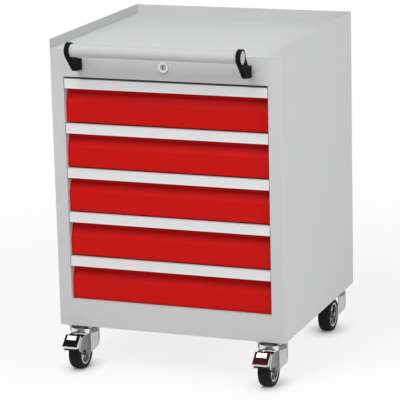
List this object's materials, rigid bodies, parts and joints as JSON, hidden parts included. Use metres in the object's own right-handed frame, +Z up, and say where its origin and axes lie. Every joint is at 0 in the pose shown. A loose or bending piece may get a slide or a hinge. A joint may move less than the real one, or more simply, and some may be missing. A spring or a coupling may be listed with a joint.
{
  "type": "drawer cabinet",
  "caption": "Mobile sheet-metal drawer cabinet with red drawer fronts, aluminium grip strips, rimmed worktop, push handle, central lock and swivel casters.",
  "frame": {"origin": "on the floor, under the centre of the overall box", "axes": "+Z up, -Y towards the drawer fronts and the push handle, +X to the right seen from the front"},
  "size_m": [0.53, 0.5705, 0.7495],
  "materials": {
    "body_paint": "light grey paint, semi-matt",
    "front_paint": "signal red paint, semi-gloss",
    "grip_metal": "satin",
    "handle_metal": "satin",
    "zinc_steel": "zinc plated",
    "lock_chrome": "polished",
    "black_plastic": "fine grain",
    "tyre_rubber": "matt",
    "hub_metal": "cast",
    "pedal_paint": "black, semi-gloss"
  },
  "bodies": {
    "cabinet": {"left_side_panel": "body_paint", "right_side_panel": "body_paint", "back_panel": "body_paint", "top_tray": "body_paint", "front_top_rail": "body_paint", "front_bottom_rail": "body_paint", "base_panel": "body_paint", "slide_uprights": "body_paint", "base_channels": "body_paint", "cabinet_rails": "zinc_steel", "handle_tube": "handle_metal", "handle_brackets": "black_plastic", "handle_end_caps": "handle_metal", "handle_screws": "zinc_steel", "lock_housing": "lock_chrome", "lock_guides": "zinc_steel", "caster_top_plates": "zinc_steel", "caster_screws": "zinc_steel"},
    "drawer_1": {"drawer_1_front": "front_paint", "drawer_1_grip": "grip_metal", "drawer_1_box": "front_paint", "drawer_1_rails": "zinc_steel"},
    "drawer_1_slide_members": {"drawer_1_middle_rails": "zinc_steel"},
    "drawer_2": {"drawer_2_front": "front_paint", "drawer_2_grip": "grip_metal", "drawer_2_box": "front_paint", "drawer_2_rails": "zinc_steel"},
    "drawer_2_slide_members": {"drawer_2_middle_rails": "zinc_steel"},
    "drawer_3": {"drawer_3_front": "front_paint", "drawer_3_grip": "grip_metal", "drawer_3_box": "front_paint", "drawer_3_rails": "zinc_steel"},
    "drawer_3_slide_members": {"drawer_3_middle_rails": "zinc_steel"},
    "drawer_4": {"drawer_4_front": "front_paint", "drawer_4_grip": "grip_metal", "drawer_4_box": "front_paint", "drawer_4_rails": "zinc_steel"},
    "drawer_4_slide_members": {"drawer_4_middle_rails": "zinc_steel"},
    "drawer_5": {"drawer_5_front": "front_paint", "drawer_5_grip": "grip_metal", "drawer_5_box": "front_paint", "drawer_5_rails": "zinc_steel"},
    "drawer_5_slide_members": {"drawer_5_middle_rails": "zinc_steel"},
    "lock": {"lock_plug": "lock_chrome", "lock_rod": "zinc_steel"},
    "locking_bar": {"locking_bar": "zinc_steel"},
    "front_left_caster": {"front_left_fork": "zinc_steel"},
    "front_left_wheel": {"front_left_tyre": "tyre_rubber", "front_left_hub": "hub_metal"},
    "front_left_pedal": {"front_left_brake_pedal": "pedal_paint"},
    "front_right_caster": {"front_right_fork": "zinc_steel"},
    "front_right_wheel": {"front_right_tyre": "tyre_rubber", "front_right_hub": "hub_metal"},
    "front_right_pedal": {"front_right_brake_pedal": "pedal_paint"},
    "rear_left_caster": {"rear_left_fork": "zinc_steel"},
    "rear_left_wheel": {"rear_left_tyre": "tyre_rubber", "rear_left_hub": "hub_metal"},
    "rear_right_caster": {"rear_right_fork": "zinc_steel"},
    "rear_right_wheel": {"rear_right_tyre": "tyre_rubber", "rear_right_hub": "hub_metal"}
  },
  "joints": [
    {"name": "drawer_1_slide", "type": "slide", "parent": "cabinet", "child": "drawer_1", "axis": [0, -1, 0], "range_m": [0, 0.43]},
    {"name": "drawer_1_members_slide", "type": "slide", "parent": "cabinet", "child": "drawer_1_slide_members", "axis": [0, -1, 0], "range_m": [0, 0.215]},
    {"name": "drawer_2_slide", "type": "slide", "parent": "cabinet", "child": "drawer_2", "axis": [0, -1, 0], "range_m": [0, 0.43]},
    {"name": "drawer_2_members_slide", "type": "slide", "parent": "cabinet", "child": "drawer_2_slide_members", "axis": [0, -1, 0], "range_m": [0, 0.215]},
    {"name": "drawer_3_slide", "type": "slide", "parent": "cabinet", "child": "drawer_3", "axis": [0, -1, 0], "range_m": [0, 0.43]},
    {"name": "drawer_3_members_slide", "type": "slide", "parent": "cabinet", "child": "drawer_3_slide_members", "axis": [0, -1, 0], "range_m": [0, 0.215]},
    {"name": "drawer_4_slide", "type": "slide", "parent": "cabinet", "child": "drawer_4", "axis": [0, -1, 0], "range_m": [0, 0.43]},
    {"name": "drawer_4_members_slide", "type": "slide", "parent": "cabinet", "child": "drawer_4_slide_members", "axis": [0, -1, 0], "range_m": [0, 0.215]},
    {"name": "drawer_5_slide", "type": "slide", "parent": "cabinet", "child": "drawer_5", "axis": [0, -1, 0], "range_m": [0, 0.43]},
    {"name": "drawer_5_members_slide", "type": "slide", "parent": "cabinet", "child": "drawer_5_slide_members", "axis": [0, -1, 0], "range_m": [0, 0.215]},
    {"name": "lock_turn", "type": "hinge", "parent": "cabinet", "child": "lock", "pos_m": [0, -0.21475, 0.694], "axis": [0, -1, 0], "range_deg": [0, 90]},
    {"name": "locking_bar_lift", "type": "slide", "parent": "cabinet", "child": "locking_bar", "axis": [0, 0, 1], "range_m": [0, 0.01]},
    {"name": "front_left_swivel", "type": "hinge", "parent": "cabinet", "child": "front_left_caster", "pos_m": [-0.223, -0.17775, 0.097], "axis": [0, 0, 1], "continuous": true},
    {"name": "front_left_wheel_spin", "type": "hinge", "parent": "front_left_caster", "child": "front_left_wheel", "pos_m": [-0.223, -0.20475, 0.0375], "axis": [1, 0, 0], "continuous": true},
    {"name": "front_left_pedal_tilt", "type": "hinge", "parent": "front_left_caster", "child": "front_left_pedal", "pos_m": [-0.223, -0.24575, 0.057], "axis": [1, 0, 0], "range_deg": [0, 20]},
    {"name": "front_right_swivel", "type": "hinge", "parent": "cabinet", "child": "front_right_caster", "pos_m": [0.223, -0.17775, 0.097], "axis": [0, 0, 1], "continuous": true},
    {"name": "front_right_wheel_spin", "type": "hinge", "parent": "front_right_caster", "child": "front_right_wheel", "pos_m": [0.223, -0.20475, 0.0375], "axis": [1, 0, 0], "continuous": true},
    {"name": "front_right_pedal_tilt", "type": "hinge", "parent": "front_right_caster", "child": "front_right_pedal", "pos_m": [0.223, -0.24575, 0.057], "axis": [1, 0, 0], "range_deg": [0, 20]},
    {"name": "rear_left_swivel", "type": "hinge", "parent": "cabinet", "child": "rear_left_caster", "pos_m": [-0.223, 0.24825, 0.097], "axis": [0, 0, 1], "continuous": true},
    {"name": "rear_left_wheel_spin", "type": "hinge", "parent": "rear_left_caster", "child": "rear_left_wheel", "pos_m": [-0.223, 0.22125, 0.0375], "axis": [1, 0, 0], "continuous": true},
    {"name": "rear_right_swivel", "type": "hinge", "parent": "cabinet", "child": "rear_right_caster", "pos_m": [0.223, 0.24825, 0.097], "axis": [0, 0, 1], "continuous": true},
    {"name": "rear_right_wheel_spin", "type": "hinge", "parent": "rear_right_caster", "child": "rear_right_wheel", "pos_m": [0.223, 0.22125, 0.0375], "axis": [1, 0, 0], "continuous": true}
  ],
  "couplings": [
    {"joint": "drawer_1_members_slide", "follows": "drawer_1_slide", "ratio": 0.5},
    {"joint": "drawer_2_members_slide", "follows": "drawer_2_slide", "ratio": 0.5},
    {"joint": "drawer_3_members_slide", "follows": "drawer_3_slide", "ratio": 0.5},
    {"joint": "drawer_4_members_slide", "follows": "drawer_4_slide", "ratio": 0.5},
    {"joint": "drawer_5_members_slide", "follows": "drawer_5_slide", "ratio": 0.5},
    {"joint": "lock_turn", "follows": "locking_bar_lift", "rad_per_m": 157.08}
  ]
}
